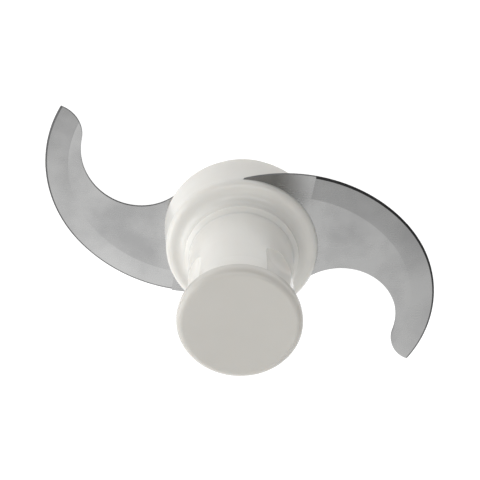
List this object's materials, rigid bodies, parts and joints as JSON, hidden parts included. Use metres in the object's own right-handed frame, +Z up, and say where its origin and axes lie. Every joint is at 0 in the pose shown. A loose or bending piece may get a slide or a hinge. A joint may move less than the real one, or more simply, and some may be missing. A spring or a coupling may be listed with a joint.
{
  "type": "food processor chopping blade",
  "caption": "Food processor chopping blade: round white hub with two sickle-shaped steel blades at different heights and a fluted finger grip topped by a flat knob.",
  "frame": {"origin": "centre of the mouth of the spindle bore, in the plane of the underside", "axes": "+Z up along the spindle axis towards the knob; the upper blade's root lies along +X, the lower blade's along -X"},
  "size_m": [0.1322, 0.0815, 0.069],
  "materials": {
    "hub": "glossy moulded",
    "knob": "glossy moulded",
    "core": "satin moulded",
    "blade": "brushed, ground along the edge",
    "hardware": "turned",
    "bush": "reamed",
    "seal": "smooth"
  },
  "bodies": {
    "root": {"base_ring": "hub", "lower_blade": "blade", "collar": "hub", "blade_spacer": "core", "upper_blade": "blade", "drive_tube": "core", "drive_insert": "hardware", "spindle_bush": "bush", "thrust_pad": "hardware", "grip": "hub", "clamp_washer": "hardware", "clamp_nut": "hardware", "knob_cap": "knob", "cap_seal": "seal", "neck_seal": "seal", "socket_seal": "seal", "base_screw_1": "hardware", "base_screw_2": "hardware", "base_screw_3": "hardware", "dowel_1": "hardware", "dowel_2": "hardware"}
  },
  "joints": []
}
